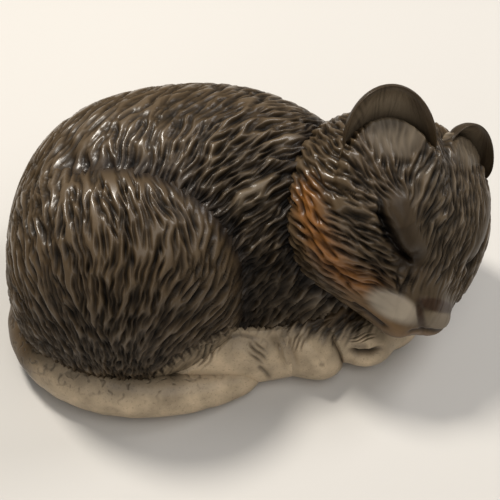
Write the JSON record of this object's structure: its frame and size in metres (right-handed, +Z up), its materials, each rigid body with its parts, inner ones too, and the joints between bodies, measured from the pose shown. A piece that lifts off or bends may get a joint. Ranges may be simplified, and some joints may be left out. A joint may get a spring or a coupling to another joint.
{
  "type": "sleeping animal figurine",
  "caption": "Small cast ornament of a curled sleeping animal with carved fur, chin on its forepaws and tail round its haunch; stands on a flat foot",
  "frame": {"origin": "on the flat foot of the trunk, under the body", "axes": "+X to the head end, +Y to the back, +Z up from the foot"},
  "size_m": [0.1482, 0.1007, 0.0803],
  "materials": {
    "brown_body": "dark brown paint with a satin coat on a resin-bound stone casting",
    "brown_haunch": "dark brown paint with a satin coat on a resin-bound stone casting",
    "brown_head": "dark brown paint with an orange cheek and pale muzzle, satin coat",
    "brown_right_ear": "dark brown paint, satin",
    "brown_left_ear": "dark brown paint, satin",
    "beige_tail": "pale beige paint, darker at the root, satin",
    "beige_hind_paw": "pale beige paint, satin",
    "beige_right_foreleg": "pale beige paint, satin",
    "beige_left_foreleg": "pale beige paint, satin"
  },
  "bodies": {
    "root": {"trunk": "brown_body", "right_haunch": "brown_haunch", "head": "brown_head", "right_ear": "brown_right_ear", "left_ear": "brown_left_ear", "tail": "beige_tail", "right_hind_paw": "beige_hind_paw", "right_foreleg": "beige_right_foreleg", "left_foreleg": "beige_left_foreleg"}
  },
  "joints": []
}
